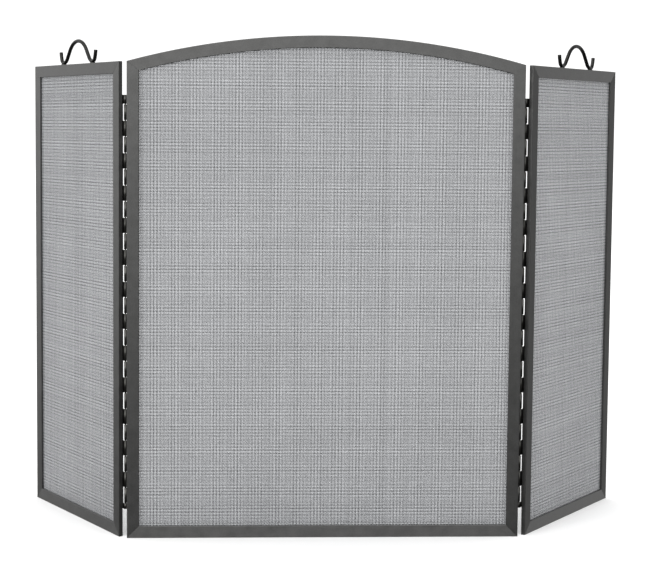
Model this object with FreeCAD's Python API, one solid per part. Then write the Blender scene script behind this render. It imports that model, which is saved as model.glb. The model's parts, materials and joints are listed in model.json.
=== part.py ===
import FreeCAD, Part
import math
import os
from FreeCAD import Vector

# Three-fold fireplace screen, in millimetres.
# +Z is up, the front faces -Y, and the origin is the middle of the
# underside of the centre panel. Each wing is built opened flat beside the
# centre panel and is then turned about its hinge axis to its stored fold.

# Panels
centre_width = 622.0
wing_width = 305.0
corner_height = 750.0
arch_rise = 42.5            # top of the arch above the centre panel's corners
left_fold = 57.5            # degrees that the left wing is folded back
right_fold = 51.5

# Frame bars: a rolled angle whose wide leg faces the front
bar_face = 19.05
bar_depth = 7.0
front_leg = 3.0
side_leg = 3.0

# Woven mesh, clamped between the front leg and the retainer strips
mesh_edge = 2.4             # hemmed border, where the mesh is clamped
mesh_core = 0.78            # solid sheet that weighs as much as the open weave
mesh_inset = 4.0            # from the panel's outline to the mesh's cut edge

# Continuous hinges, on the rear faces of the stiles
hinge_bottom = 45.0
hinge_top = 698.0
knuckle_count = 25          # whole knuckles
end_knuckle_top = 14.5
end_knuckle_bottom = 9.3
knuckle_radius = 2.25
knuckle_gap = 1.2
leaf_thickness = 1.05
leaf_reach = 14.5           # from the hinge axis to the leaf's far edge
notch_reach = 5.0           # from the hinge axis to the bottom of a notch
pin_radius = 1.15
running_clearance = 0.05
centre_offset = 2.6         # from the centre stile's edge to the hinge axis
wing_offset = 5.0           # from the hinge axis to the wing stile's edge

# Lift handles: a bent rod standing on each wing's top rail
rod_radius = 3.0
weld_sink = 0.25            # the rod is flattened this much where it is welded
handle_height = 40.0
handle_shift = 6.0          # both handles stand this far right of their rail's middle
crown_radius = 37.0
flank_angle = 53.0
foot_radius = 16.0
heel_radius = 8.0
heel_exit_angle = 68.0
tip_radius = 45.0
tip_exit_angle = 85.0

# Worked out from the sizes above
front_y = -bar_depth / 2
rear_y = bar_depth / 2
axis_x = centre_width / 2 + centre_offset
axis_y = rear_y + knuckle_radius
wing_centre_x = axis_x + wing_offset + wing_width / 2
knuckle_length = (hinge_top - hinge_bottom - end_knuckle_top - end_knuckle_bottom) / knuckle_count

os.makedirs("parts", exist_ok=True)


def export(node, shape):
    """Write one sub-part and say what was made."""
    shape.exportStep("parts/" + node + ".step")
    box = shape.BoundBox
    print("%-32s %s %9.0f mm3  x %.1f..%.1f  y %.1f..%.1f  z %.1f..%.1f" % (
        node, "ok" if shape.isValid() else "NOT VALID", shape.Volume,
        box.XMin, box.XMax, box.YMin, box.YMax, box.ZMin, box.ZMax))


def corners(width, rise, inset):
    """The four corners of a panel's outline, moved inwards by inset."""
    half = width / 2 - inset
    top = corner_height - inset
    if rise > 0:
        radius = arch_radius(width, rise)
        centre_z = corner_height + rise - radius
        top = centre_z + math.sqrt((radius - inset) ** 2 - half ** 2)
    return {
        "bottom_left": Vector(-half, 0, inset),
        "bottom_right": Vector(half, 0, inset),
        "top_right": Vector(half, 0, top),
        "top_left": Vector(-half, 0, top),
    }


def arch_radius(width, rise):
    return ((width / 2) ** 2 + rise ** 2) / (2 * rise)


def plate(width, rise, inset, y_from, y_to):
    """A solid plate with the panel's outline moved inwards by inset."""
    at = corners(width, rise, inset)
    edges = [
        Part.makeLine(at["top_left"], at["bottom_left"]),
        Part.makeLine(at["bottom_left"], at["bottom_right"]),
        Part.makeLine(at["bottom_right"], at["top_right"]),
    ]
    if rise > 0:
        crown = Vector(0, 0, corner_height + rise - inset)
        edges.append(Part.Arc(at["top_right"], crown, at["top_left"]).toShape())
    else:
        edges.append(Part.makeLine(at["top_right"], at["top_left"]))
    face = Part.Face(Part.Wire(edges))
    face.translate(Vector(0, y_from, 0))
    return face.extrude(Vector(0, y_to - y_from, 0))


def ring(width, rise, outer_inset, inner_inset, y_from, y_to):
    outer = plate(width, rise, outer_inset, y_from, y_to)
    return outer.cut(plate(width, rise, inner_inset, y_from, y_to))


def sectors(width, rise):
    """One prism for each side of a panel, bounded by the mitre planes."""
    outer = corners(width, rise, 0)
    inner = corners(width, rise, bar_face)
    beyond = {}
    within = {}
    for name in outer:
        run = outer[name] - inner[name]
        beyond[name] = outer[name] + run
        within[name] = inner[name] - run * 0.5
    above = Vector(0, 0, corner_height + rise + 100)
    outlines = {
        "left": [beyond["bottom_left"], within["bottom_left"],
                 within["top_left"], beyond["top_left"]],
        "right": [beyond["bottom_right"], within["bottom_right"],
                  within["top_right"], beyond["top_right"]],
        "bottom": [beyond["bottom_left"], within["bottom_left"],
                   within["bottom_right"], beyond["bottom_right"]],
        "top": [beyond["top_left"], within["top_left"],
                within["top_right"], beyond["top_right"], above],
    }
    prisms = {}
    for side, points in outlines.items():
        face = Part.Face(Part.makePolygon(points + points[:1]))
        face.translate(Vector(0, -bar_depth, 0))
        prisms[side] = face.extrude(Vector(0, 2 * bar_depth, 0))
    return prisms


def framed_mesh(width, rise):
    """Mitred bars, retainer strips and mesh of one panel, centred on x = 0."""
    mesh_front = front_y + front_leg
    mesh_rear = mesh_front + mesh_edge
    angle = ring(width, rise, 0, bar_face, front_y, mesh_front)
    angle = angle.fuse(ring(width, rise, 0, side_leg, front_y, rear_y)).removeSplitter()
    strip = ring(width, rise, side_leg, bar_face, mesh_rear, rear_y)
    pieces = {}
    for side, prism in sectors(width, rise).items():
        pieces[side + "_bar"] = angle.common(prism)
        pieces[side + "_retainer"] = strip.common(prism)
    core_front = (mesh_front + mesh_rear - mesh_core) / 2
    core = plate(width, rise, mesh_inset, core_front, core_front + mesh_core)
    edge = ring(width, rise, mesh_inset, bar_face, mesh_front, mesh_rear)
    pieces["mesh"] = core.fuse(edge).removeSplitter()
    return pieces


def knuckle_spans(leaf):
    """Bottom and top of each knuckle. The wing's leaf has the two end ones."""
    cuts = [hinge_bottom, hinge_bottom + end_knuckle_bottom]
    for step in range(knuckle_count):
        cuts.append(cuts[-1] + knuckle_length)
    cuts.append(hinge_top)
    first = 0 if leaf == "wing" else 1
    spans = []
    for index in range(first, len(cuts) - 1, 2):
        low = cuts[index] + (knuckle_gap / 2 if index > 0 else 0)
        high = cuts[index + 1] - (knuckle_gap / 2 if cuts[index + 1] < hinge_top else 0)
        spans.append((low, high))
    return spans


def hinge_leaf(side, leaf):
    """One leaf with its rolled knuckles; side is +1 right, -1 left."""
    towards_leaf = -side if leaf == "centre" else side
    bore = pin_radius + (running_clearance if leaf == "wing" else 0)
    centre_x = side * axis_x
    far = centre_x + towards_leaf * leaf_reach
    notch = centre_x + towards_leaf * notch_reach
    height = hinge_top - hinge_bottom
    body = Part.makeBox(abs(far - notch), leaf_thickness, height,
                        Vector(min(far, notch), rear_y, hinge_bottom))
    solids = []
    for low, high in knuckle_spans(leaf):
        tab = Part.makeBox(notch_reach, leaf_thickness, high - low,
                           Vector(min(centre_x, notch), rear_y, low))
        barrel = Part.makeCylinder(knuckle_radius, high - low, Vector(centre_x, axis_y, low))
        hole = Part.makeCylinder(bore, high - low, Vector(centre_x, axis_y, low))
        solids.append(barrel.fuse(tab).cut(hole))
    return body.multiFuse(solids).removeSplitter()


def hinge_pin(side):
    return Part.makeCylinder(pin_radius, hinge_top - hinge_bottom,
                             Vector(side * axis_x, axis_y, hinge_bottom))


def bend(start, heading, radius, turn):
    """An arc in the XZ plane: heading and turn in degrees, up is positive."""
    way = 1 if turn > 0 else -1
    normal = math.radians(heading + 90 * way)
    centre = start + Vector(math.cos(normal), 0, math.sin(normal)) * radius

    def at(angle):
        spoke = math.radians(heading - 90 * way + angle)
        return centre + Vector(math.cos(spoke), 0, math.sin(spoke)) * radius

    return Part.Arc(start, at(turn / 2), at(turn)).toShape(), at(turn)


def handle():
    """The bent rod, centred on x = 0 and standing on the corner height."""
    crown = Vector(0, 0, corner_height + handle_height - rod_radius)
    foot_z = corner_height + rod_radius - weld_sink
    drop = crown.z - foot_z
    bend_drop = (crown_radius + foot_radius) * (1 - math.cos(math.radians(flank_angle)))
    flank = (drop - bend_drop) / math.sin(math.radians(flank_angle))

    edges = []
    top_arc, point = bend(crown, 0, crown_radius, -flank_angle)
    edges.append(top_arc)
    slope = math.radians(-flank_angle)
    foot_start = point + Vector(math.cos(slope), 0, math.sin(slope)) * flank
    edges.append(Part.makeLine(point, foot_start))
    foot_arc, point = bend(foot_start, -flank_angle, foot_radius, flank_angle)
    edges.append(foot_arc)
    heel_arc, point = bend(point, 0, heel_radius, heel_exit_angle)
    edges.append(heel_arc)
    tip_arc, point = bend(point, heel_exit_angle, tip_radius, tip_exit_angle - heel_exit_angle)
    edges.append(tip_arc)

    path = Part.Wire(edges)
    section = Part.Wire(Part.makeCircle(rod_radius, crown, Vector(1, 0, 0)))
    sweep = Part.BRepOffsetAPI.MakePipeShell(path)
    sweep.setFrenetMode(False)
    sweep.add(section)
    sweep.build()
    sweep.makeSolid()
    half = sweep.shape()
    rod = half.fuse(half.mirror(Vector(0, 0, 0), Vector(1, 0, 0))).removeSplitter()
    print("handle: volume over section times length %.4f" % (
        rod.Volume / (2 * path.Length * math.pi * rod_radius ** 2)))
    rail_block = Part.makeBox(400, 40, 40, Vector(-200, -20, corner_height - 40))
    return rod.cut(rail_block)


def fold(shape, side):
    """Move a wing's piece from x = 0 to beside the centre panel, then fold it back."""
    placed = shape.copy()
    placed.translate(Vector(side * wing_centre_x, 0, 0))
    return turn_about_hinge(placed, side)


def turn_about_hinge(shape, side):
    turned = shape.copy()
    angle = right_fold if side > 0 else -left_fold
    turned.rotate(Vector(side * axis_x, axis_y, 0), Vector(0, 0, 1), angle)
    return turned


centre = framed_mesh(centre_width, arch_rise)
export("centre_left_stile", centre["left_bar"])
export("centre_right_stile", centre["right_bar"])
export("centre_bottom_rail", centre["bottom_bar"])
export("centre_arched_rail", centre["top_bar"])
export("centre_mesh", centre["mesh"])
export("centre_left_retainer", centre["left_retainer"])
export("centre_right_retainer", centre["right_retainer"])
export("centre_bottom_retainer", centre["bottom_retainer"])
export("centre_arched_retainer", centre["top_retainer"])

wing = framed_mesh(wing_width, 0)
wing_handle = handle()
wing_handle.translate(Vector(handle_shift, 0, 0))
for name, side in (("left", -1), ("right", 1)):
    inner = "right" if side < 0 else "left"
    outer = "left" if side < 0 else "right"
    export(name + "_wing_inner_stile", fold(wing[inner + "_bar"], side))
    export(name + "_wing_outer_stile", fold(wing[outer + "_bar"], side))
    export(name + "_wing_top_rail", fold(wing["top_bar"], side))
    export(name + "_wing_bottom_rail", fold(wing["bottom_bar"], side))
    export(name + "_wing_mesh", fold(wing["mesh"], side))
    export(name + "_wing_inner_retainer", fold(wing[inner + "_retainer"], side))
    export(name + "_wing_outer_retainer", fold(wing[outer + "_retainer"], side))
    export(name + "_wing_top_retainer", fold(wing["top_retainer"], side))
    export(name + "_wing_bottom_retainer", fold(wing["bottom_retainer"], side))
    export(name + "_wing_handle", fold(wing_handle, side))
    export(name + "_hinge_centre_leaf", hinge_leaf(side, "centre"))
    export(name + "_hinge_wing_leaf", turn_about_hinge(hinge_leaf(side, "wing"), side))
    export(name + "_hinge_pin", hinge_pin(side))
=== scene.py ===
import json
import math

import bpy
from mathutils import Matrix, Vector


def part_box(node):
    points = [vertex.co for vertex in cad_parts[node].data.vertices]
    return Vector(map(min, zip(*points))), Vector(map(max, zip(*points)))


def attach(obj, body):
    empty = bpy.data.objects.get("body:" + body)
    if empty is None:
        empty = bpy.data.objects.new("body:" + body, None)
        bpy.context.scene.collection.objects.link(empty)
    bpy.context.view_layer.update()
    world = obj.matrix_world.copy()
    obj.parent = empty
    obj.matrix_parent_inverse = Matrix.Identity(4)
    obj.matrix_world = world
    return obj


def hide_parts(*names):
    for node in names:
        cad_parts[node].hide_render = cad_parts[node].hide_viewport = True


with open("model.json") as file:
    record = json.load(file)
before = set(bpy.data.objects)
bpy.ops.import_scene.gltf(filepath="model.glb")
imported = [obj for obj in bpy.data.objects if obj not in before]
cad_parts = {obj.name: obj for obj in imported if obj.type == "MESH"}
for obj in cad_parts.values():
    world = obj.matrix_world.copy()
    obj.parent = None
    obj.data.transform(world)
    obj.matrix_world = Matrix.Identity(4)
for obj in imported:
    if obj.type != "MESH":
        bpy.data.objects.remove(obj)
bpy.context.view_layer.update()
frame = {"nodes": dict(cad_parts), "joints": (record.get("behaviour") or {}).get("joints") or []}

print("frame loaded:", len(frame["nodes"]), "nodes")


# ---- sizes read from the frame

def extent(node):
    low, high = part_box(node)
    return high - low


stileLow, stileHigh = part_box("centre_left_stile")
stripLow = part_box("centre_left_retainer")[0]
meshLow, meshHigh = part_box("centre_mesh")
leafLow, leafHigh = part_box("right_hinge_centre_leaf")
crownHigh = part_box("centre_arched_rail")[1].z

bar = {
    "face": stileHigh.x - stileLow.x,
    "front": stileLow.y,
    "rear": stileHigh.y,
    "frontLeg": meshLow.y - stileLow.y,   # the mesh lies against the back of this leg
    "sideLeg": stripLow.x - stileLow.x,
    "edgeRound": 0.0008,
    "endRound": 0.00025,                  # at the mitres, ground flush after welding
}
strip = {
    "front": stripLow.y,
    "edgeRound": 0.0003,
    "endRound": 0.00015,
}


def wingPanel(name, nodes):
    joint = next(j for j in frame["joints"] if j["child"] == name)
    axis = Vector((joint["pos_m"][0], joint["pos_m"][1], 0.0))
    fold = math.radians(180.0 - joint["range_deg"][1])   # 180 is folded flat behind the centre
    turn = Matrix.Translation(axis) @ Matrix.Rotation(fold * joint["axis"][2], 4, "Z")
    turn = turn @ Matrix.Translation(-axis)
    rail = extent(nodes["bottom"] + "_rail")
    width = (rail.x - (bar["rear"] - bar["front"]) * math.sin(fold)) / math.cos(fold)
    side = math.copysign(1.0, axis.x)
    innerLow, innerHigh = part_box(name + "_inner_stile")
    nearest = innerLow.x if side > 0 else -innerHigh.x    # the folded stile's rear corner
    gap = nearest - abs(axis.x) - (axis.y - bar["rear"]) * math.sin(fold)
    gap /= math.cos(fold)                                 # from the axis to the stile's edge
    beside = side * (abs(axis.x) + gap + width / 2)
    return {
        "body": name, "side": side, "nodes": nodes, "mesh": name + "_mesh",
        "width": width, "height": extent(nodes["left"] + "_stile").z, "rise": 0.0,
        "turn": turn, "place": turn @ Matrix.Translation((beside, 0.0, 0.0)),
    }


panels = {
    "centre": {
        "body": "centre_panel", "side": 0.0, "mesh": "centre_mesh",
        "nodes": {"left": "centre_left", "right": "centre_right",
                  "bottom": "centre_bottom", "top": "centre_arched"},
        "width": extent("centre_bottom_rail").x, "height": stileHigh.z,
        "rise": crownHigh - stileHigh.z,
        "turn": Matrix.Identity(4), "place": Matrix.Identity(4),
    },
    "left_wing": wingPanel("left_wing", {
        "left": "left_wing_outer", "right": "left_wing_inner",
        "bottom": "left_wing_bottom", "top": "left_wing_top"}),
    "right_wing": wingPanel("right_wing", {
        "left": "right_wing_inner", "right": "right_wing_outer",
        "bottom": "right_wing_bottom", "top": "right_wing_top"}),
}


# ---- small helpers for node trees

def node(tree, kind, inputs=None, **settings):
    made = tree.nodes.new(kind)
    for name, value in settings.items():
        setattr(made, name, value)
    for key, value in (inputs or {}).items():
        if isinstance(value, bpy.types.NodeSocket):
            tree.links.new(value, made.inputs[key])
        else:
            made.inputs[key].default_value = value
    return made


def maths(tree, operation, first, second=0.0):
    return node(tree, "ShaderNodeMath", {0: first, 1: second}, operation=operation).outputs[0]


def newTree(name, sockets):
    # sockets: name -> (kind, starting value); the geometry socket comes first
    tree = bpy.data.node_groups.new(name, "GeometryNodeTree")
    tree.interface.new_socket("Geometry", in_out="INPUT", socket_type="NodeSocketGeometry")
    for label, (kind, value) in sockets.items():
        socket = tree.interface.new_socket(label, in_out="INPUT", socket_type="NodeSocket" + kind)
        if value is not None:
            socket.default_value = value
    tree.interface.new_socket("Geometry", in_out="OUTPUT", socket_type="NodeSocketGeometry")
    return tree, tree.nodes.new("NodeGroupInput").outputs


def finishTree(tree, geometry, material):
    realized = node(tree, "GeometryNodeRealizeInstances", {"Geometry": geometry}).outputs[0]
    painted = node(tree, "GeometryNodeSetMaterial", {"Geometry": realized, "Material": material})
    end = tree.nodes.new("NodeGroupOutput")
    tree.links.new(painted.outputs[0], end.inputs[0])
    return tree


def addObject(name, mesh):
    made = bpy.data.objects.new(name, mesh)
    bpy.context.scene.collection.objects.link(made)
    return made


def settle(piece):
    # turn the evaluated result into a plain mesh, with no modifier left
    bpy.context.view_layer.update()
    graph = bpy.context.evaluated_depsgraph_get()
    mesh = bpy.data.meshes.new_from_object(piece.evaluated_get(graph), depsgraph=graph)
    piece.modifiers.clear()
    piece.data = mesh
    return piece


def grow(piece, tree, values):
    # run a geometry tree on a piece, with its inputs given by their labels
    modifier = piece.modifiers.new(tree.name, "NODES")
    modifier.node_group = tree
    for item in tree.interface.items_tree:
        if item.in_out == "INPUT" and item.name in values:
            modifier[item.identifier] = values[item.name]
    return settle(piece)


def meshFrom(name, points, faces):
    mesh = bpy.data.meshes.new(name)
    mesh.from_pydata([tuple(p) for p in points], [], faces)
    mesh.validate()
    return mesh


def hand(piece, body, slot, *nodes):
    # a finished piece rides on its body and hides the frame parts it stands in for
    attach(piece, body)
    if nodes:
        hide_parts(*nodes)
    return piece


# ---- finishes

def noise(tree, coordinates, scale, detail=3.0, roughness=0.55):
    return node(tree, "ShaderNodeTexNoise", {
        "Vector": coordinates, "Scale": scale, "Detail": detail, "Roughness": roughness,
    }).outputs["Fac"]


def ramp(tree, factor, low, high, lowColor, highColor):
    made = node(tree, "ShaderNodeValToRGB", {"Fac": factor})
    made.color_ramp.elements[0].position = low
    made.color_ramp.elements[0].color = (*lowColor, 1.0)
    made.color_ramp.elements[1].position = high
    made.color_ramp.elements[1].color = (*highColor, 1.0)
    return made.outputs["Color"]


def blendColors(tree, factor, first, second, mode="MIX"):
    made = node(tree, "ShaderNodeMix", data_type="RGBA", blend_type=mode)
    for index, value in ((0, factor), (6, first), (7, second)):
        if isinstance(value, bpy.types.NodeSocket):
            tree.links.new(value, made.inputs[index])
        elif index == 0:
            made.inputs[0].default_value = value
        else:
            made.inputs[index].default_value = (*value, 1.0)
    return made.outputs[2]


paint = {
    "mottle": (5.0, 0.6), "fleck": (2.0, 0.7), "line": (3.0, 0.6),     # detail and roughness
    "mottleSpan": (0.32, 0.68), "fleckSpan": (0.35, 0.65), "lineSpan": (0.3, 0.7),
    "glossMottle": 0.6, "glossLine": 0.4, "smoother": 0.06, "rougher": 0.08,
    "bumpFleck": 0.7, "bumpLine": 0.3, "bumpDepth": 0.0003,
    "grainTurn": 0.25,          # of a full turn
}


def paintedSteel(name, look):
    # sprayed iron-grey paint: broad mottling, fine fleck, faint rolling lines along the bar
    material = bpy.data.materials.new(name)
    material.use_nodes = True
    tree = material.node_tree
    tree.nodes.clear()
    place = node(tree, "ShaderNodeTexCoord")
    where = place.outputs["Object"]
    broad = noise(tree, where, look["mottleScale"], *paint["mottle"])
    fleck = noise(tree, where, look["fleckScale"], *paint["fleck"])
    along = place.outputs["UV"] if look["linesFromUv"] else where
    stretched = node(tree, "ShaderNodeMapping", {"Vector": along, "Scale": look["lineStretch"]})
    lines = noise(tree, stretched.outputs[0], 1.0, *paint["line"])
    color = ramp(tree, broad, *paint["mottleSpan"], look["dark"], look["light"])
    flecked = ramp(tree, fleck, *paint["fleckSpan"], (look["fleckLow"],) * 3, (look["fleckHigh"],) * 3)
    lined = ramp(tree, lines, *paint["lineSpan"], (look["lineLow"],) * 3, (look["lineHigh"],) * 3)
    color = blendColors(tree, 1.0, color, flecked, "MULTIPLY")
    color = blendColors(tree, 1.0, color, lined, "MULTIPLY")
    if look["toneFromWire"]:
        tone = node(tree, "ShaderNodeAttribute", attribute_name="tone").outputs["Fac"]
        color = blendColors(tree, 1.0, color, tone, "MULTIPLY")
    gloss = node(tree, "ShaderNodeMapRange", {
        "Value": maths(tree, "ADD", maths(tree, "MULTIPLY", broad, paint["glossMottle"]),
                       maths(tree, "MULTIPLY", lines, paint["glossLine"])),
        "From Min": paint["lineSpan"][0], "From Max": paint["lineSpan"][1],
        "To Min": look["roughness"] - paint["smoother"],
        "To Max": look["roughness"] + paint["rougher"]})
    height = maths(tree, "ADD", maths(tree, "MULTIPLY", fleck, paint["bumpFleck"]),
                   maths(tree, "MULTIPLY", lines, paint["bumpLine"]))
    bump = node(tree, "ShaderNodeBump", {
        "Height": height, "Strength": look["bump"], "Distance": paint["bumpDepth"]})
    shader = node(tree, "ShaderNodeBsdfPrincipled", {
        "Base Color": color, "Roughness": gloss.outputs[0], "Normal": bump.outputs[0],
        "Metallic": look["metallic"], "Specular IOR Level": look["specular"]})
    if look["grain"] > 0:
        # rolled along the bar, so that a reflection spreads across it
        lengthwise = node(tree, "ShaderNodeTangent", direction_type="UV_MAP", uv_map="along")
        shader.inputs["Anisotropic"].default_value = look["grain"]
        shader.inputs["Anisotropic Rotation"].default_value = paint["grainTurn"]
        tree.links.new(lengthwise.outputs[0], shader.inputs["Tangent"])
    out = node(tree, "ShaderNodeOutputMaterial", {"Surface": shader.outputs[0]})
    out.is_active_output = True
    return material


frameLook = {
    "light": (0.135, 0.135, 0.133), "dark": (0.108, 0.108, 0.106),
    "mottleScale": 55.0, "fleckScale": 900.0, "fleckLow": 0.86, "fleckHigh": 1.12,
    "linesFromUv": True, "lineStretch": (7.0, 900.0, 1.0), "lineLow": 0.94, "lineHigh": 1.05,
    "roughness": 0.40, "bump": 0.2, "metallic": 1.0, "specular": 0.3, "grain": 0.75,
    "toneFromWire": False,
}
stripLook = dict(frameLook, light=(0.105, 0.104, 0.101), dark=(0.080, 0.079, 0.076),
                 roughness=0.48, grain=0.5)
hingeLook = dict(frameLook, light=(0.080, 0.079, 0.074), dark=(0.050, 0.049, 0.046),
                 linesFromUv=False, lineStretch=(700.0, 700.0, 9.0), roughness=0.36, grain=0.0)
handleLook = dict(frameLook, light=(0.032, 0.032, 0.031), dark=(0.020, 0.020, 0.019),
                  linesFromUv=False, lineStretch=(160.0, 160.0, 160.0), roughness=0.34, grain=0.0)
weldLook = dict(frameLook, light=(0.100, 0.099, 0.095), dark=(0.060, 0.059, 0.056),
                linesFromUv=False, lineStretch=(400.0, 400.0, 400.0), roughness=0.45,
                bump=0.5, grain=0.0)
wireLook = dict(frameLook, light=(0.329, 0.334, 0.344), dark=(0.300, 0.305, 0.314),
                mottleScale=9.0, linesFromUv=False, lineStretch=(300.0, 300.0, 300.0),
                roughness=0.75, bump=0.1, metallic=0.0, specular=0.0, grain=0.0,
                fleckLow=0.95, fleckHigh=1.05, toneFromWire=True)
spotLook = dict(stripLook, light=(0.075, 0.074, 0.072), dark=(0.050, 0.049, 0.048),
                linesFromUv=False, lineStretch=(500.0, 500.0, 500.0), roughness=0.6, grain=0.0)
pinLook = dict(frameLook, light=(0.060, 0.059, 0.056), dark=(0.030, 0.030, 0.029),
               linesFromUv=False, lineStretch=(900.0, 900.0, 40.0), roughness=0.33, grain=0.0)

framePaint = paintedSteel("iron_grey_paint", frameLook)
stripPaint = paintedSteel("retainer_paint", stripLook)
hingePaint = paintedSteel("hinge_paint", hingeLook)
handlePaint = paintedSteel("handle_paint", handleLook)
weldPaint = paintedSteel("painted_weld", weldLook)
spotPaint = paintedSteel("spot_weld_paint", spotLook)
wirePaint = paintedSteel("wire_paint", wireLook)
pinSteel = paintedSteel("oiled_pin_steel", pinLook)
print("finishes made")


# ---- frame bars and retainer strips, each side swept between its two mitres

def outlineSide(panel, side, inset, steps):
    # points along one side of the panel's outline, moved inwards by inset
    half = panel["width"] / 2 - inset
    top = panel["height"] - inset
    radius = 0.0
    if panel["rise"] > 0:
        radius = ((panel["width"] / 2) ** 2 + panel["rise"] ** 2) / (2 * panel["rise"])
        centre = panel["height"] + panel["rise"] - radius
        top = centre + math.sqrt((radius - inset) ** 2 - half ** 2)
    ends = {
        "left": ((-half, top), (-half, inset)),
        "bottom": ((-half, inset), (half, inset)),
        "right": ((half, inset), (half, top)),
        "top": ((half, top), (-half, top)),
    }[side]
    points = []
    for step in range(steps + 1):
        part = step / steps
        if side == "top" and radius > 0:
            swing = math.asin(half / (radius - inset)) * (1 - 2 * part)
            points.append(((radius - inset) * math.sin(swing),
                           centre + (radius - inset) * math.cos(swing)))
        else:
            points.append((ends[0][0] + (ends[1][0] - ends[0][0]) * part,
                           ends[0][1] + (ends[1][1] - ends[0][1]) * part))
    return points


def sweepSide(name, panel, side, section, steps):
    # section: (inset, depth) corners, counter-clockwise seen from the start of the side
    lines = [outlineSide(panel, side, inset, steps) for inset, depth in section]
    count = len(section)
    points = []
    for step in range(steps + 1):
        for corner, (inset, depth) in enumerate(section):
            x, z = lines[corner][step]
            points.append(panel["place"] @ Vector((x, depth, z)))
    faces = []
    for step in range(steps):
        for corner in range(count):
            here = step * count + corner
            following = step * count + (corner + 1) % count
            faces.append((here, here + count, following + count, following))
    faces.append(tuple(range(count)))
    faces.append(tuple(steps * count + corner for corner in reversed(range(count))))
    mesh = meshFrom(name, points, faces)
    addSweepUv(mesh, lines, section, steps)
    return mesh


def addSweepUv(mesh, lines, section, steps):
    # u runs along the bar and v round its section, both in metres
    count = len(section)
    walk = [0.0]
    for corner in range(count):
        first, second = section[corner], section[(corner + 1) % count]
        walk.append(walk[-1] + math.dist(first, second))
    run = [0.0]
    for step in range(steps):
        run.append(run[-1] + math.dist(lines[0][step], lines[0][step + 1]))
    layer = mesh.uv_layers.new(name="along")
    for face in mesh.polygons:
        corners = [mesh.loops[index].vertex_index for index in face.loop_indices]
        wraps = len(corners) == 4 and {c % count for c in corners} == {0, count - 1}
        for index, corner in zip(face.loop_indices, corners):
            around = walk[count] if wraps and corner % count == 0 else walk[corner % count]
            layer.data[index].uv = (run[corner // count], around)


def roundEdges(piece, look, count, steps):
    # long edges get the rolled radius; mitre edges only a hairline
    mesh = piece.data
    weights = mesh.attributes.new("bevel_weight_edge", "FLOAT", "EDGE")
    share = look["endRound"] / look["edgeRound"]
    for edge in mesh.edges:
        first, second = (v // count for v in edge.vertices)
        lengthwise = first != second
        atEnd = first in (0, steps)
        weights.data[edge.index].value = 1.0 if lengthwise else (share if atEnd else 0.0)
    mesh.shade_smooth()
    bevel = piece.modifiers.new("edges", "BEVEL")
    bevel.width = look["edgeRound"]
    bevel.segments = 3
    bevel.limit_method = "WEIGHT"
    bevel.harden_normals = True
    return settle(piece)


barSection = [
    (0.0, bar["front"]), (bar["face"], bar["front"]),
    (bar["face"], bar["front"] + bar["frontLeg"]), (bar["sideLeg"], bar["front"] + bar["frontLeg"]),
    (bar["sideLeg"], bar["rear"]), (0.0, bar["rear"]),
]
stripSection = [
    (bar["sideLeg"], strip["front"]), (bar["face"], strip["front"]),
    (bar["face"], bar["rear"]), (bar["sideLeg"], bar["rear"]),
]
archSteps = 48

for panel in panels.values():
    for side, stem in panel["nodes"].items():
        steps = archSteps if side == "top" and panel["rise"] > 0 else 1
        barNode = stem + ("_stile" if side in ("left", "right") else "_rail")
        rolled = addObject(barNode + "_rolled",
                           sweepSide(barNode, panel, side, barSection, steps))
        rolled.data.materials.append(framePaint)
        roundEdges(rolled, bar, len(barSection), steps)
        hand(rolled, panel["body"], "frame_paint", barNode)

        stripNode = stem + "_retainer"
        flat = addObject(stripNode + "_strip",
                         sweepSide(stripNode, panel, side, stripSection, steps))
        flat.data.materials.append(stripPaint)
        roundEdges(flat, strip, len(stripSection), steps)
        hand(flat, panel["body"], "retainer_paint", stripNode)
print("frame bars and retainer strips made")


# ---- woven wire mesh

weave = {
    "pitch": 0.00254,           # ten wires to the inch
    "wireWidth": 0.0020,        # the wire is rolled flat, so it is wider than it is thick
    "wireThickness": 0.00055,
    "reach": 0.009,             # how far the wires run under the frame's face
    "wander": 0.00012,          # uneven spacing from wire to wire
    "bow": 0.00002,             # slow waviness over the panel
    "bowScale": 9.0,
    "toneSwing": 0.285,         # light and dark nearly alternate, down the columns and along the rows
    "toneBeat": 0.4604,         # swings from one wire to the next
    "toneWander": 0.06,
    "toneLowest": 0.15,
    "centreShares": 3,          # the centre's wires are split so that each piece stays light
    "seed": 7,
}


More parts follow.
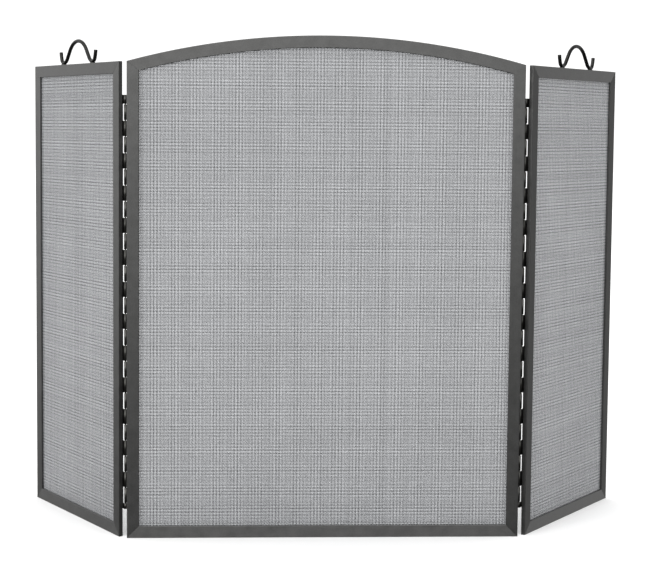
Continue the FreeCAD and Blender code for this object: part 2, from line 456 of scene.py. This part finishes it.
def wovenWireTree():
    tree, given = newTree("wovenWires", {
        "Wires across": ("Int", 10), "Wires up": ("Int", 10), "Pitch": ("Float", 0.003),
        "Bottom": ("Float", 0.0), "Wire width": ("Float", 0.0016),
        "Wire thickness": ("Float", 0.0007), "Upright": ("Bool", True),
        "First": ("Int", 0), "Last": ("Int", 9), "Arch radius": ("Float", 10.0),
        "Arch centre": ("Float", 0.0), "Wander": ("Float", 0.0), "Bow": ("Float", 0.0),
        "Tone swing": ("Float", 0.0), "Tone beat": ("Float", 0.5), "Tone wander": ("Float", 0.0),
        "Seed": ("Int", 1), "Material": ("Material", None),
    })
    pitch = given["Pitch"]
    across = maths(tree, "SUBTRACT", given["Wires across"], 1.0)
    up = maths(tree, "SUBTRACT", given["Wires up"], 1.0)
    grid = node(tree, "GeometryNodeMeshGrid", {
        "Size X": maths(tree, "MULTIPLY", across, pitch),
        "Size Y": maths(tree, "MULTIPLY", up, pitch),
        "Vertices X": given["Wires across"], "Vertices Y": given["Wires up"]})
    lift = maths(tree, "ADD", given["Bottom"],
                 maths(tree, "MULTIPLY", maths(tree, "MULTIPLY", up, 0.5), pitch))
    raised = node(tree, "GeometryNodeTransform", {
        "Geometry": grid.outputs[0],
        "Translation": node(tree, "ShaderNodeCombineXYZ", {"Y": lift}).outputs[0]})

    # which wire a crossing belongs to, counted from the left and from the bottom
    spot = node(tree, "ShaderNodeSeparateXYZ", {
        "Vector": node(tree, "GeometryNodeInputPosition").outputs[0]}).outputs
    column = maths(tree, "ROUND", maths(tree, "ADD", maths(tree, "DIVIDE", spot["X"], pitch),
                                        maths(tree, "MULTIPLY", across, 0.5)))
    row = maths(tree, "ROUND", maths(tree, "DIVIDE",
                                     maths(tree, "SUBTRACT", spot["Y"], given["Bottom"]), pitch))
    wire = node(tree, "GeometryNodeSwitch", {
        "Switch": given["Upright"], "False": row, "True": column}, input_type="FLOAT").outputs[0]

    # keep what lies under the arch and in this piece's share of the wires
    reachX = maths(tree, "POWER", spot["X"], 2.0)
    reachY = maths(tree, "POWER", maths(tree, "SUBTRACT", spot["Y"], given["Arch centre"]), 2.0)
    away = maths(tree, "SQRT", maths(tree, "ADD", reachX, reachY))
    outside = maths(tree, "GREATER_THAN", away, given["Arch radius"])
    before = maths(tree, "LESS_THAN", wire, given["First"])
    after = maths(tree, "GREATER_THAN", wire, given["Last"])
    unwanted = maths(tree, "ADD", maths(tree, "ADD", outside, before), after)
    kept = node(tree, "GeometryNodeDeleteGeometry", {
        "Geometry": raised.outputs[0],
        "Selection": maths(tree, "GREATER_THAN", unwanted, 0.5)}, domain="POINT", mode="ALL")

    # leave only the edges that run along this piece's wires
    ends = node(tree, "GeometryNodeInputMeshEdgeVertices").outputs
    span = node(tree, "ShaderNodeVectorMath", {0: ends["Position 1"], 1: ends["Position 2"]},
                operation="SUBTRACT")
    sideways = maths(tree, "ABSOLUTE", node(tree, "ShaderNodeSeparateXYZ", {
        "Vector": span.outputs[0]}).outputs["X"])
    level = maths(tree, "GREATER_THAN", sideways, maths(tree, "MULTIPLY", pitch, 0.5))
    upright = maths(tree, "SUBTRACT", 1.0, level)
    crosswise = node(tree, "GeometryNodeSwitch", {
        "Switch": given["Upright"], "False": upright, "True": level}, input_type="FLOAT").outputs[0]
    threads = node(tree, "GeometryNodeDeleteGeometry", {
        "Geometry": kept.outputs[0],
        "Selection": maths(tree, "GREATER_THAN", crosswise, 0.5)}, domain="EDGE", mode="EDGE_FACE")
    curves = node(tree, "GeometryNodeMeshToCurve", {"Mesh": threads.outputs[0]})

    # uneven spacing, slow bowing, and over-and-under crimps
    def wanderOf(number, reach, extraSeed):
        return node(tree, "FunctionNodeRandomValue", {
            2: maths(tree, "MULTIPLY", reach, -1.0), 3: reach,
            7: number, 8: maths(tree, "ADD", given["Seed"], extraSeed)},
            data_type="FLOAT").outputs[1]

    def toneOf(number, extraSeed):
        turn = maths(tree, "MULTIPLY", maths(tree, "MULTIPLY", number, given["Tone beat"]), math.tau)
        swung = maths(tree, "MULTIPLY", maths(tree, "COSINE", turn), given["Tone swing"])
        return maths(tree, "ADD", swung, wanderOf(number, given["Tone wander"], extraSeed))

    tone = maths(tree, "ADD", 1.0, maths(tree, "ADD", toneOf(column, 2.0), toneOf(row, 3.0)))
    toned = node(tree, "GeometryNodeStoreNamedAttribute", {
        "Geometry": curves.outputs[0], "Name": "tone",
        "Value": maths(tree, "MAXIMUM", tone, weave["toneLowest"])}, data_type="FLOAT", domain="POINT")

    drift = node(tree, "ShaderNodeTexNoise", {"Scale": weave["bowScale"], "Detail": 1.0})
    centred = node(tree, "ShaderNodeVectorMath", {
        0: drift.outputs["Color"], 1: (0.5, 0.5, 0.5)}, operation="SUBTRACT")
    bowed = node(tree, "ShaderNodeVectorMath", {
        0: centred.outputs[0], "Scale": given["Bow"]}, operation="SCALE")
    bowSpot = node(tree, "ShaderNodeSeparateXYZ", {"Vector": bowed.outputs[0]}).outputs
    parity = maths(tree, "FLOORED_MODULO", maths(tree, "ADD", column, row), 2.0)
    swing = maths(tree, "SUBTRACT", maths(tree, "MULTIPLY", parity, 2.0), 1.0)
    facing = node(tree, "GeometryNodeSwitch", {
        "Switch": given["Upright"], "False": -1.0, "True": 1.0}, input_type="FLOAT").outputs[0]
    crimp = maths(tree, "MULTIPLY", maths(tree, "MULTIPLY", swing, facing),
                  maths(tree, "MULTIPLY", given["Wire thickness"], 0.5))
    shift = node(tree, "ShaderNodeCombineXYZ", {
        "X": maths(tree, "ADD", wanderOf(column, given["Wander"], 0.0), bowSpot["X"]),
        "Y": maths(tree, "ADD", wanderOf(row, given["Wander"], 1.0), bowSpot["Y"]), "Z": crimp})
    bent = node(tree, "GeometryNodeSetPosition", {
        "Geometry": toned.outputs[0], "Offset": shift.outputs[0]})
    faced = node(tree, "GeometryNodeSetCurveNormal", {"Curve": bent.outputs[0]}, mode="Z_UP")
    # a three-cornered wire, one corner forward; such a triangle of radius 1 is 1.5 deep
    corners = node(tree, "GeometryNodeCurvePrimitiveCircle", {"Resolution": 3, "Radius": 1.0})
    squash = node(tree, "ShaderNodeCombineXYZ", {
        "X": maths(tree, "DIVIDE", given["Wire thickness"], 1.5),
        "Y": maths(tree, "DIVIDE", given["Wire width"], math.sqrt(3.0)), "Z": 1.0})
    section = node(tree, "GeometryNodeTransform", {
        "Geometry": corners.outputs[0], "Scale": squash.outputs[0],
        "Rotation": (0.0, 0.0, math.radians(90.0))})
    wires = node(tree, "GeometryNodeCurveToMesh", {
        "Curve": faced.outputs[0], "Profile Curve": section.outputs[0], "Fill Caps": True})
    smooth = node(tree, "GeometryNodeSetShadeSmooth", {"Geometry": wires.outputs[0]})
    standing = node(tree, "GeometryNodeTransform", {
        "Geometry": smooth.outputs[0], "Rotation": (math.radians(90.0), 0.0, 0.0)})
    return finishTree(tree, standing.outputs[0], given["Material"])


wireTree = wovenWireTree()
for label, panel in panels.items():
    inset = bar["face"] - weave["reach"]
    wide = int((panel["width"] - 2 * inset) / weave["pitch"]) + 1
    tall = int((panel["height"] + panel["rise"] - 2 * inset) / weave["pitch"]) + 1
    values = {
        "Wires across": wide, "Wires up": tall, "Pitch": weave["pitch"], "Bottom": inset,
        "Wire width": weave["wireWidth"], "Wire thickness": weave["wireThickness"],
        "Wander": weave["wander"], "Bow": weave["bow"], "Tone swing": weave["toneSwing"],
        "Tone beat": weave["toneBeat"], "Tone wander": weave["toneWander"],
        "Material": wirePaint,
    }
    if panel["rise"] > 0:
        archRadius = ((panel["width"] / 2) ** 2 + panel["rise"] ** 2) / (2 * panel["rise"])
        values["Arch radius"] = archRadius - inset
        values["Arch centre"] = panel["height"] + panel["rise"] - archRadius
    shares = weave["centreShares"] if label == "centre" else 1
    middle = (meshLow.y + meshHigh.y) / 2
    values["Seed"] = weave["seed"] + 10 * list(panels).index(label)
    for upright, direction in ((True, "upright"), (False, "level")):
        wires = wide if upright else tall
        for share in range(shares):
            first = wires * share // shares
            last = wires * (share + 1) // shares - 1
            woven = addObject("%s_%s_wires_%d" % (panel["mesh"], direction, share + 1),
                              bpy.data.meshes.new("wires"))
            grow(woven, wireTree, dict(values, Upright=upright, First=first, Last=last))
            woven.data.transform(panel["place"] @ Matrix.Translation((0.0, middle, 0.0)))
            hand(woven, panel["body"], "mesh_wire", panel["mesh"])
print("mesh woven")


# ---- copies along a line or an arch: knuckles, spot welds, weld stitches

def copiesAlongPathTree():
    tree, given = newTree("copiesAlongPath", {
        "Piece": ("Object", None), "Count": ("Int", 2), "Spin axis": ("Vector", (0.0, 0.0, 0.0)),
        "Spin": ("Float", 0.0), "Size wander": ("Float", 0.0), "Seed": ("Int", 1),
        "Material": ("Material", None),
    })
    path = node(tree, "GeometryNodeMeshToCurve", {"Mesh": given["Geometry"]})
    stops = node(tree, "GeometryNodeResampleCurve", {
        "Curve": path.outputs[0], "Count": given["Count"]}, mode="COUNT")
    angle = node(tree, "FunctionNodeRandomValue", {
        2: maths(tree, "MULTIPLY", given["Spin"], -1.0), 3: given["Spin"], 8: given["Seed"]},
        data_type="FLOAT")
    spin = node(tree, "ShaderNodeVectorMath", {
        0: given["Spin axis"], "Scale": angle.outputs[1]}, operation="SCALE")
    size = node(tree, "FunctionNodeRandomValue", {
        2: maths(tree, "SUBTRACT", 1.0, given["Size wander"]),
        3: maths(tree, "ADD", 1.0, given["Size wander"]),
        8: maths(tree, "ADD", given["Seed"], 1.0)}, data_type="FLOAT")
    shape = node(tree, "GeometryNodeObjectInfo", {"Object": given["Piece"]})
    copies = node(tree, "GeometryNodeInstanceOnPoints", {
        "Points": stops.outputs[0], "Instance": shape.outputs["Geometry"],
        "Rotation": spin.outputs[0], "Scale": size.outputs[1]})
    return finishTree(tree, copies.outputs[0], given["Material"])


copyTree = copiesAlongPathTree()


def copyAlong(name, points, shapeMesh, count, material, spinAxis=(0.0, 0.0, 0.0),
              spin=0.0, sizeWander=0.0, seed=1):
    shape = addObject(name + "_shape", shapeMesh)
    path = bpy.data.meshes.new(name)
    path.from_pydata([tuple(p) for p in points], [(i, i + 1) for i in range(len(points) - 1)], [])
    row = addObject(name, path)
    grow(row, copyTree, {
        "Piece": shape, "Count": count, "Spin axis": spinAxis, "Spin": spin,
        "Size wander": sizeWander, "Seed": seed, "Material": material})
    bpy.data.objects.remove(shape)
    return row


def joinPieces(name, pieces):
    # one mesh from several finished pieces with one material
    points, faces, smooth = [], [], []
    for piece in pieces:
        start = len(points)
        points.extend(v.co.copy() for v in piece.data.vertices)
        for face in piece.data.polygons:
            faces.append(tuple(start + v for v in face.vertices))
            smooth.append(face.use_smooth)
    material = next(m for m in pieces[0].data.materials if m)
    mesh = meshFrom(name, points, faces)
    mesh.polygons.foreach_set("use_smooth", smooth)
    mesh.materials.append(material)
    for piece in pieces:
        bpy.data.objects.remove(piece)
    return addObject(name, mesh)


# ---- continuous hinges: rolled knuckles on notched leaves

hinge = {
    "bottom": leafLow.z, "top": leafHigh.z,
    "radius": (leafHigh.y - leafLow.y) / 2,
    "thickness": 0.00105,
    "wholeKnuckles": 25,
    "endBottom": 0.0093, "endTop": 0.0145,
    "gap": 0.0012,
    "notch": 0.005,             # from the pin's axis to the bottom of a notch
    "reach": 0.0145,            # from the pin's axis to the leaf's far edge
    "rollEnd": 206.0,           # degrees round the pin at which the rolled end meets the leaf
    "overlap": 0.0002,          # the knuckle's tongue runs this far into the plate
    "outerSteps": 18, "innerSteps": 12,
    "sharpFrom": 35.0,          # degrees; steeper creases stay sharp
    "edgeRound": 0.0002,
}


def rolledKnuckle(height, away):
    # the sheet leaves the leaf in front of the pin and rolls round behind it;
    # away is +1 where the leaf lies on the +X side of the pin
    radius, inner = hinge["radius"], hinge["radius"] - hinge["thickness"]
    start, end = -90.0, hinge["rollEnd"]
    outer, within = hinge["outerSteps"], hinge["innerSteps"]
    outline = []
    for step in range(outer + 1):
        angle = math.radians(start + (end - start) * step / outer)
        outline.append((radius * math.cos(angle), radius * math.sin(angle)))
    for step in range(within + 1):
        angle = math.radians(end + (start - end) * step / within)
        outline.append((inner * math.cos(angle), inner * math.sin(angle)))
    root = -hinge["notch"] - hinge["overlap"]
    outline.append((root, -inner))
    outline.append((root, -radius))
    outline = [(-x * away, y) for x, y in outline]
    if away > 0:
        outline.reverse()
    count = len(outline)
    points = [(x, y, 0.0) for x, y in outline] + [(x, y, height) for x, y in outline]
    faces = [(i, (i + 1) % count, count + (i + 1) % count, count + i) for i in range(count)]
    faces.append(tuple(reversed(range(count))))
    faces.append(tuple(range(count, 2 * count)))
    mesh = meshFrom("knuckle", points, faces)
    for face in mesh.polygons:
        face.use_smooth = len(face.vertices) == 4
    mesh.set_sharp_from_angle(angle=math.radians(hinge["sharpFrom"]))
    return mesh


def slab(low, high):
    xs, ys, zs = zip(low, high)
    points = [(x, y, z) for z in zs for y in ys for x in xs]
    faces = [(0, 2, 3, 1), (4, 5, 7, 6), (0, 1, 5, 4), (2, 6, 7, 3), (0, 4, 6, 2), (1, 3, 7, 5)]
    return meshFrom("slab", points, faces)


def hingeLeaf(name, axis, away, firstWhole):
    # firstWhole: 0 if this leaf's lowest whole knuckle is the first one, 1 if the second
    length = hinge["top"] - hinge["bottom"]
    step = (length - hinge["endBottom"] - hinge["endTop"]) / hinge["wholeKnuckles"]
    near = axis.x + away * hinge["notch"]
    far = axis.x + away * hinge["reach"]
    front = axis.y - hinge["radius"]
    plate = addObject(name + "_plate", slab(
        (min(near, far), front, hinge["bottom"]),
        (max(near, far), front + hinge["thickness"], hinge["top"])))
    plate.data.materials.append(hingePaint)
    bevel = plate.modifiers.new("edges", "BEVEL")
    bevel.width = hinge["edgeRound"]
    bevel.segments = 2
    settle(plate)
    lowest = hinge["bottom"] + hinge["endBottom"] + firstWhole * step + hinge["gap"] / 2
    count = (hinge["wholeKnuckles"] - firstWhole + 1) // 2
    path = [Vector((axis.x, axis.y, lowest)),
            Vector((axis.x, axis.y, lowest + 2 * step * (count - 1)))]
    row = copyAlong(name + "_knuckles", path, rolledKnuckle(step - hinge["gap"], away),
                    count, hingePaint)
    pieces = [plate, row]
    if firstWhole == 1:
        for low, high in ((hinge["bottom"], hinge["bottom"] + hinge["endBottom"] - hinge["gap"] / 2),
                          (hinge["top"] - hinge["endTop"] + hinge["gap"] / 2, hinge["top"])):
            end = addObject(name + "_end", rolledKnuckle(high - low, away))
            end.data.transform(Matrix.Translation((axis.x, axis.y, low)))
            end.data.materials.append(hingePaint)
            pieces.append(end)
    return joinPieces(name, pieces)


# ---- welds

weld = {
    "spotRadius": 0.0028, "spotHeight": 0.00014, "spotSpacing": 0.088,
    "spotInset": 0.0155,        # from the panel's outline to the row of spot welds
    "spotEnd": 0.35,            # share of the spacing left free at each corner
    "spotSides": 12, "spotDip": 0.15,
    "spotRings": ((0.5, 0.25), (0.74, 1.0), (1.0, -0.4)),     # shares of radius and height
    "stitchLength": 0.013, "stitchWidth": 0.0024, "stitchHeight": 0.0009, "stitchSpacing": 0.085,
    "stitchStations": 13, "stitchSides": 8,
    "stitchRipple": 0.16, "stitchEndWidth": 0.12, "stitchTaper": 0.55, "stitchCore": 0.45,
    "spotWander": 0.12, "stitchWander": 0.1,                  # uneven sizes
    "stitchTilt": 3.0,          # degrees, at most, either way
}


def spotWeldShape():
    # a shallow pressed crater with a raised lip, facing +Y
    rings = weld["spotRings"]
    sides = weld["spotSides"]
    points = [(0.0, weld["spotHeight"] * weld["spotDip"], 0.0)]
    for share, lift in rings:
        for side in range(sides):
            angle = 2 * math.pi * side / sides
            points.append((weld["spotRadius"] * share * math.cos(angle),
                           weld["spotHeight"] * lift, weld["spotRadius"] * share * math.sin(angle)))
    faces = [(0, 1 + (s + 1) % sides, 1 + s) for s in range(sides)]
    for ring in range(2):
        for s in range(sides):
            here, following = 1 + ring * sides + s, 1 + ring * sides + (s + 1) % sides
            faces.append((here, following, following + sides, here + sides))
    faces.append(tuple(1 + 2 * sides + s for s in range(sides)))
    mesh = meshFrom("spot", points, faces)
    mesh.shade_smooth()
    return mesh


def stitchShape(length, width, height):
    # a short rippled bead lying along Z, facing +Y
    stations, sides = weld["stitchStations"], weld["stitchSides"]
    points = []
    for station in range(stations):
        part = station / (stations - 1)
        bulge = math.sqrt(max(0.0, 1 - (2 * part - 1) ** 2))
        swell = bulge * weld["stitchTaper"] + weld["stitchCore"]
        if station in (0, stations - 1):
            swell = weld["stitchEndWidth"]
        ripple = 1.0 + weld["stitchRipple"] * (1 if station % 2 else -1)
        for side in range(sides):
            angle = 2 * math.pi * side / sides
            points.append((width / 2 * swell * math.cos(angle),
                           height * swell * ripple * math.sin(angle), length * (part - 0.5)))
    faces = []
    for station in range(stations - 1):
        for side in range(sides):
            here = station * sides + side
            following = station * sides + (side + 1) % sides
            faces.append((here, following, following + sides, here + sides))
    faces.append(tuple(reversed(range(sides))))
    faces.append(tuple((stations - 1) * sides + side for side in range(sides)))
    mesh = meshFrom("stitch", points, faces)
    mesh.shade_smooth()
    return mesh


for name, panel in panels.items():
    rows = []
    for index, side in enumerate(("left", "bottom", "right", "top")):
        steps = archSteps if side == "top" and panel["rise"] > 0 else 1
        line = outlineSide(panel, side, weld["spotInset"], steps)
        path = [Vector((x, bar["rear"], z)) for x, z in line]
        span = sum(math.dist(line[i], line[i + 1]) for i in range(steps))
        spare = weld["spotSpacing"] * weld["spotEnd"]
        path[0] += (path[1] - path[0]).normalized() * spare
        path[-1] += (path[-2] - path[-1]).normalized() * spare
        count = max(2, round((span - 2 * spare) / weld["spotSpacing"]) + 1)
        row = copyAlong("%s_spots_%s" % (name, side), path, spotWeldShape(), count, spotPaint,
                        spinAxis=(0.0, 1.0, 0.0), spin=math.pi,
                        sizeWander=weld["spotWander"], seed=index + 3)
        row.data.transform(panel["place"])
        rows.append(row)
    spots = joinPieces(name + "_spot_welds", rows)
    hand(spots, panel["body"], "retainer_paint")

for panel in (panels["left_wing"], panels["right_wing"]):
    word = "left" if panel["side"] < 0 else "right"
    joint = next(j for j in frame["joints"] if j["child"] == panel["body"])
    axis = Vector((joint["pos_m"][0], joint["pos_m"][1], 0.0))
    for leafName, away, firstWhole, body, turn in (
            ("centre", -panel["side"], 0, "centre_panel", Matrix.Identity(4)),
            ("wing", panel["side"], 1, panel["body"], panel["turn"])):
        cadNode = "%s_hinge_%s_leaf" % (word, leafName)
        leaf = hingeLeaf(cadNode + "_rolled", axis, away, firstWhole)
        leaf.data.transform(turn)
        hand(leaf, body, "hinge_paint", cadNode)
        edge = axis.x + away * hinge["reach"]
        length = hinge["top"] - hinge["bottom"]
        count = round(length / weld["stitchSpacing"])
        margin = length / count / 2
        path = [Vector((edge, bar["rear"], hinge["bottom"] + margin)),
                Vector((edge, bar["rear"], hinge["top"] - margin))]
        stitches = copyAlong(cadNode + "_stitches", path, stitchShape(
            weld["stitchLength"], weld["stitchWidth"], weld["stitchHeight"]), count, weldPaint,
            spinAxis=(0.0, 1.0, 0.0), spin=math.radians(weld["stitchTilt"]),
            sizeWander=weld["stitchWander"], seed=5)
        stitches.data.transform(turn)
        hand(stitches, body, "hinge_paint")
    frame["nodes"][word + "_hinge_pin"].data.materials.clear()
    frame["nodes"][word + "_hinge_pin"].data.materials.append(pinSteel)
print("hinges and welds made")


# ---- lift handles: a bent rod on each wing's top rail

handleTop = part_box("left_wing_handle")[1].z
rod = {
    "radius": 0.0030,
    "shift": 0.006,             # both handles stand this far right of their rail's middle
    "crownRadius": 0.037,
    "flankAngle": 53.0,
    "footRadius": 0.016,
    "heelRadius": 0.008,
    "heelExit": 68.0,
    "tipRadius": 0.045,
    "tipExit": 85.0,
    "weldSink": 0.00025,
    "endRound": 0.0006,
    "sides": 20,
    "arcStep": 4.0,             # degrees between points on the bends
    "flankParts": 4,
    "endStep": 0.3,             # share of the end rounding at its middle point
    "beadLength": 0.0062, "beadWidth": 0.0032, "beadHeight": 0.0013,
    "beadReach": 0.0012,        # front and back of a foot, two beads, this far to either side
    "beadSpread": 0.62,         # how far out they lie, as a share of the rod's radius
}


def rodHalf(railTop, top):
    # centre line from the crown outwards, as (x, z), and where it touches the rail
    points = [(0.0, top - rod["radius"])]
    heading = 0.0

    def bend(radius, turn):
        nonlocal heading
        steps = max(2, math.ceil(abs(turn) / rod["arcStep"]))
        chord = 2 * radius * math.sin(math.radians(abs(turn) / steps / 2))
        for step in range(steps):
            middle = math.radians(heading + turn / steps / 2)
            x, z = points[-1]
            points.append((x + chord * math.cos(middle), z + chord * math.sin(middle)))
            heading += turn / steps

    flank = math.radians(rod["flankAngle"])
    drop = (top - rod["radius"]) - (railTop + rod["radius"] - rod["weldSink"])
    bendDrop = (rod["crownRadius"] + rod["footRadius"]) * (1 - math.cos(flank))
    bend(rod["crownRadius"], -rod["flankAngle"])
    length = (drop - bendDrop) / math.sin(flank)
    part = length / rod["flankParts"]
    for step in range(rod["flankParts"]):
        x, z = points[-1]
        points.append((x + part * math.cos(flank), z - part * math.sin(flank)))
    bend(rod["footRadius"], rod["flankAngle"])
    foot = points[-1][0]
    bend(rod["heelRadius"], rod["heelExit"])
    bend(rod["tipRadius"], rod["tipExit"] - rod["heelExit"])
    return points, foot


def rodTree():
    tree, given = newTree("bentRod", {
        "Radius": ("Float", 0.002), "Sides": ("Int", 16), "Floor": ("Float", 0.0),
        "Material": ("Material", None),
    })
    path = node(tree, "GeometryNodeMeshToCurve", {"Mesh": given["Geometry"]})
    thickness = node(tree, "GeometryNodeInputNamedAttribute", {"Name": "thickness"})
    circle = node(tree, "GeometryNodeCurvePrimitiveCircle", {
        "Resolution": given["Sides"], "Radius": given["Radius"]})
    tube = node(tree, "GeometryNodeCurveToMesh", {
        "Curve": path.outputs[0], "Profile Curve": circle.outputs[0],
        "Scale": thickness.outputs[0], "Fill Caps": True})
    spot = node(tree, "ShaderNodeSeparateXYZ", {
        "Vector": node(tree, "GeometryNodeInputPosition").outputs[0]}).outputs
    flattened = node(tree, "ShaderNodeCombineXYZ", {
        "X": spot["X"], "Y": spot["Y"], "Z": maths(tree, "MAXIMUM", spot["Z"], given["Floor"])})
    seated = node(tree, "GeometryNodeSetPosition", {
        "Geometry": tube.outputs[0], "Position": flattened.outputs[0]})
    smooth = node(tree, "GeometryNodeSetShadeSmooth", {"Geometry": seated.outputs[0]})
    return finishTree(tree, smooth.outputs[0], given["Material"])


bentRodTree = rodTree()
for panel in (panels["left_wing"], panels["right_wing"]):
    half, footX = rodHalf(panel["height"], handleTop)
    stand = panel["place"] @ Matrix.Translation((rod["shift"], 0.0, 0.0))
    # the cut ends get a small rounding: shrink the last points
    (x1, z1), (x2, z2) = half[-2], half[-1]
    run = math.dist((x1, z1), (x2, z2))
    back = rod["endRound"] / run
    half[-1:] = [(x2 - (x2 - x1) * back * share, z2 - (z2 - z1) * back * share)
                 for share in (1.0, rod["endStep"], 0.0)]
    line = [(-x, z) for x, z in reversed(half[1:])] + half
    thickness = [1.0] * len(line)
    for end in (0, -1):
        inward = 1 if end == 0 else -1
        thickness[end] = 1 - rod["endRound"] / rod["radius"]
        thickness[end + inward] = 1 - rod["endStep"] * rod["endRound"] / rod["radius"]
    path = bpy.data.meshes.new("rod_path")
    path.from_pydata([(x, 0.0, z) for x, z in line], [(i, i + 1) for i in range(len(line) - 1)], [])
    path.attributes.new("thickness", "FLOAT", "POINT").data.foreach_set("value", thickness)
    name = panel["body"] + "_handle"
    bent = addObject(name + "_rod", path)
    grow(bent, bentRodTree, {
        "Radius": rod["radius"], "Sides": rod["sides"], "Floor": panel["height"],
        "Material": handlePaint})
    bent.data.transform(stand)
    hand(bent, panel["body"], "handle_paint", name)

    beads = []
    for side in (-1, 1):
        for face in (-1, 1):
            y = face * rod["radius"] * rod["beadSpread"]
            path = [Vector((side * footX + way * rod["beadReach"], y, panel["height"]))
                    for way in (-1, 1)]
            bead = stitchShape(rod["beadLength"], rod["beadWidth"], rod["beadHeight"])
            bead.transform(Matrix.Rotation(math.radians(90.0), 4, "Y"))
            bead.transform(Matrix.Rotation(math.radians(90.0), 4, "X"))
            beads.append(copyAlong("%s_bead_%d_%d" % (name, side, face), path, bead, 2, weldPaint,
                                   sizeWander=weld["spotWander"], seed=9 + side + 2 * face))
    fillets = joinPieces(name + "_weld", beads)
    fillets.data.transform(stand)
    hand(fillets, panel["body"], "handle_paint")
print("handles bent and welded")


# ---- stage: floor, light and camera

studio = {
    "backdrop": 1.2,            # what the eye sees behind the screen
    "fill": 1.42,               # even light on matt surfaces
    "frontLow": 0.2, "frontHigh": 2.4,        # glow seen by gloss, below and above
    "frontFrom": -0.38, "frontTo": 0.42,      # how far up a ray heads where it brightens
    "backLow": 0.3, "backHigh": 1.2,
    "backFrom": -0.33, "backTo": 0.02,
    "rightFront": 0.03, "rightBack": 0.8,     # glow on the right-hand side
    "sweepFrom": -0.5, "sweepTo": 0.3,        # how far back a ray heads, front glow to back
    "rightFrom": -0.05, "rightTo": 0.35,
    "turnFrom": 0.28, "turnTo": 0.58,         # how far right, into the right-hand glow
    "floor": (0.93, 0.93, 0.93), "floorSize": 40.0,
    "keyPower": 30.0, "keyPlace": (-2.6, -2.2, 1.9), "keyAim": (0.0, 0.05, 0.4), "keySize": 1.6,
}


def areaLight(name, place, target, size, power):
    light = bpy.data.lights.new(name, "AREA")
    light.energy = power
    light.size = size
    lamp = addObject(name, light)
    lamp.location = place
    lamp.rotation_euler = (Vector(target) - Vector(place)).to_track_quat("-Z", "Y").to_euler()
    return lamp


def buildStage():
    half = studio["floorSize"] / 2
    ground = addObject("floor", meshFrom("floor", [
        (-half, -half, 0.0), (half, -half, 0.0), (half, half, 0.0), (-half, half, 0.0)],
        [(0, 1, 2, 3)]))
    material = bpy.data.materials.new("pale_floor")
    material.use_nodes = True
    shader = material.node_tree.nodes["Principled BSDF"]
    shader.inputs["Base Color"].default_value = (*studio["floor"], 1.0)
    shader.inputs["Roughness"].default_value = 1.0
    shader.inputs["Specular IOR Level"].default_value = 0.0
    ground.data.materials.append(material)
    ground.visible_glossy = False

    world = bpy.data.worlds.new("studio")
    bpy.context.scene.world = world
    world.use_nodes = True
    tree = world.node_tree
    tree.nodes.clear()
    toward = node(tree, "ShaderNodeSeparateXYZ", {
        "Vector": node(tree, "ShaderNodeTexCoord").outputs["Generated"]}).outputs

    def ease(value, start, end, low, high):
        return node(tree, "ShaderNodeMapRange", {
            "Value": value, "From Min": start, "From Max": end, "To Min": low, "To Max": high},
            interpolation_type="SMOOTHSTEP").outputs[0]

    # gloss sees a bright sweep above and to the left, and a dark room at the right front
    ahead = ease(toward["Z"], studio["frontFrom"], studio["frontTo"],
                 studio["frontLow"], studio["frontHigh"])
    behind = ease(toward["Z"], studio["backFrom"], studio["backTo"],
                  studio["backLow"], studio["backHigh"])
    sweep = ease(toward["Y"], studio["sweepFrom"], studio["sweepTo"], ahead, behind)
    rightSide = ease(toward["Y"], studio["rightFrom"], studio["rightTo"],
                     studio["rightFront"], studio["rightBack"])
    turned = ease(toward["X"], studio["turnFrom"], studio["turnTo"], 0.0, 1.0)
    shade = node(tree, "ShaderNodeMix", {0: turned, 2: sweep, 3: rightSide}).outputs[0]
    path = node(tree, "ShaderNodeLightPath").outputs
    matt = node(tree, "ShaderNodeMix", {
        0: path["Is Diffuse Ray"], 2: shade, 3: studio["fill"]}).outputs[0]
    level = node(tree, "ShaderNodeMix", {
        0: path["Is Camera Ray"], 2: matt, 3: studio["backdrop"]}).outputs[0]
    glow = node(tree, "ShaderNodeBackground", {"Color": (1.0, 1.0, 1.0, 1.0), "Strength": level})
    node(tree, "ShaderNodeOutputWorld", {"Surface": glow.outputs[0]})

    key = areaLight("key", studio["keyPlace"], studio["keyAim"], studio["keySize"], studio["keyPower"])
    key.data.diffuse_factor = 0.0                 # it adds to gloss only


camera = {
    "place": (-0.1295, -2.3308, 0.6499),
    "yaw": -2.641, "pitch": 4.211, "roll": 0.482,   # degrees
    "focal": 82.63, "sensor": 36.0,                 # mm
    "near": 0.05, "far": 200.0,
    "shift": (0.0201, -0.0758),
}


def buildCamera():
    yaw, pitch, roll = (math.radians(camera[key]) for key in ("yaw", "pitch", "roll"))
    forward = Vector((-math.sin(yaw) * math.cos(pitch), math.cos(yaw) * math.cos(pitch),
                      -math.sin(pitch)))
    level = Vector((math.cos(yaw), math.sin(yaw), 0.0))
    upward = level.cross(forward)
    right = level * math.cos(roll) + upward * math.sin(roll)
    up = upward * math.cos(roll) - level * math.sin(roll)
    data = bpy.data.cameras.new("camera")
    data.sensor_width = camera["sensor"]
    data.lens = camera["focal"]
    data.shift_x, data.shift_y = camera["shift"]
    data.clip_start = camera["near"]
    data.clip_end = camera["far"]
    eye = addObject("camera", data)
    turn = Matrix((right, up, -forward)).transposed().to_4x4()
    eye.matrix_world = Matrix.Translation(camera["place"]) @ turn
    bpy.context.scene.camera = eye


buildStage()
buildCamera()
bpy.context.scene.view_settings.view_transform = "Standard"
print("stage set")
